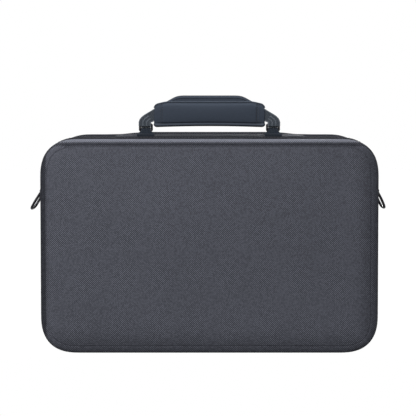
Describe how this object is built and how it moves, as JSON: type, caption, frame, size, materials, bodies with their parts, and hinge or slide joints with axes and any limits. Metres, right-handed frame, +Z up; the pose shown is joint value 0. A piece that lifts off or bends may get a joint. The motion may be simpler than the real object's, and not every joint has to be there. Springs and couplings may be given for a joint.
{
  "type": "console carrying case",
  "caption": "Upright hard-shell carrying case in woven fabric: a shallow lid hinged to a deep base, zipped, with a padded carry handle on top and a swinging ring on each side.",
  "frame": {"origin": "middle of the underside of the closed case as it stands", "axes": "+X along the long side towards the side with the zip sliders, +Y from the lid's face to the back, +Z up through the handle"},
  "size_m": [0.4786, 0.16, 0.335],
  "materials": {
    "twill": "fine diamond twill on moulded foam, soft sheen",
    "binding": "ribbed binding tape",
    "zip_tape": "woven zipper tape",
    "zip_coil": "satin coil",
    "zip_metal": "satin black paint",
    "webbing": "woven webbing",
    "patch_fabric": "stitched woven patch",
    "foam": "brushed knit over foam",
    "net": "open knit net",
    "elastic": "gathered elastic",
    "ring_metal": "glossy black nickel",
    "neoprene": "soft knit over padding",
    "fastener": "hook-and-loop"
  },
  "bodies": {
    "base": {"base_shell": "twill", "base_rim_binding": "binding", "base_zip_tape": "zip_tape", "base_zip_coil": "zip_coil", "zip_end_stops": "zip_metal", "hinge_strip": "webbing", "top_patch": "patch_fabric", "left_handle_tab": "webbing", "right_handle_tab": "webbing", "left_side_tab": "webbing", "right_side_tab": "webbing", "back_pad": "foam", "left_console_strap": "webbing", "right_console_strap": "webbing"},
    "lid": {"lid_shell": "twill", "lid_rim_binding": "binding", "lid_zip_tape": "zip_tape", "lid_zip_coil": "zip_coil", "lid_pocket_net": "net", "lid_pocket_hem": "elastic"},
    "rings": {"left_handle_ring": "ring_metal", "right_handle_ring": "ring_metal"},
    "handle": {"handle_strap": "webbing", "handle_wrap": "neoprene", "wrap_hook_strip": "fastener", "wrap_loop_strip": "fastener"},
    "left_ring": {"left_d_ring": "ring_metal"},
    "right_ring": {"right_d_ring": "ring_metal"},
    "upper_zip": {"upper_slider": "zip_metal"},
    "lower_zip": {"lower_slider": "zip_metal"},
    "upper_zip_pull": {"upper_pull": "zip_metal"},
    "lower_zip_pull": {"lower_pull": "zip_metal"}
  },
  "joints": [
    {"name": "lid_hinge", "type": "hinge", "parent": "base", "child": "lid", "pos_m": [0, -0.0355, 0], "axis": [1, 0, 0], "range_deg": [0, 175], "deforming": ["hinge_strip"]},
    {"name": "rings_swing", "type": "hinge", "parent": "base", "child": "rings", "pos_m": [0, -0.02, 0.28785], "axis": [1, 0, 0], "range_deg": [-50, 50]},
    {"name": "handle_swing", "type": "hinge", "parent": "rings", "child": "handle", "pos_m": [0, -0.02, 0.29635], "axis": [1, 0, 0], "range_deg": [-38, 38]},
    {"name": "left_ring_swing", "type": "hinge", "parent": "base", "child": "left_ring", "pos_m": [-0.22505, -0.015, 0.207], "axis": [0, 1, 0], "range_deg": [-28, 140]},
    {"name": "right_ring_swing", "type": "hinge", "parent": "base", "child": "right_ring", "pos_m": [0.22505, -0.015, 0.207], "axis": [0, -1, 0], "range_deg": [-28, 140]},
    {"name": "upper_slider_travel", "type": "slide", "parent": "base", "child": "upper_zip", "axis": [0, 0, 1], "range_m": [0, 0.075]},
    {"name": "lower_slider_travel", "type": "slide", "parent": "base", "child": "lower_zip", "axis": [0, 0, 1], "range_m": [-0.06, 0]},
    {"name": "upper_pull_swing", "type": "hinge", "parent": "upper_zip", "child": "upper_zip_pull", "pos_m": [0.221, -0.0355, 0.1515], "axis": [0, -1, 0], "range_deg": [0, 160]},
    {"name": "lower_pull_swing", "type": "hinge", "parent": "lower_zip", "child": "lower_zip_pull", "pos_m": [0.221, -0.0355, 0.112], "axis": [0, -1, 0], "range_deg": [0, 160]}
  ]
}
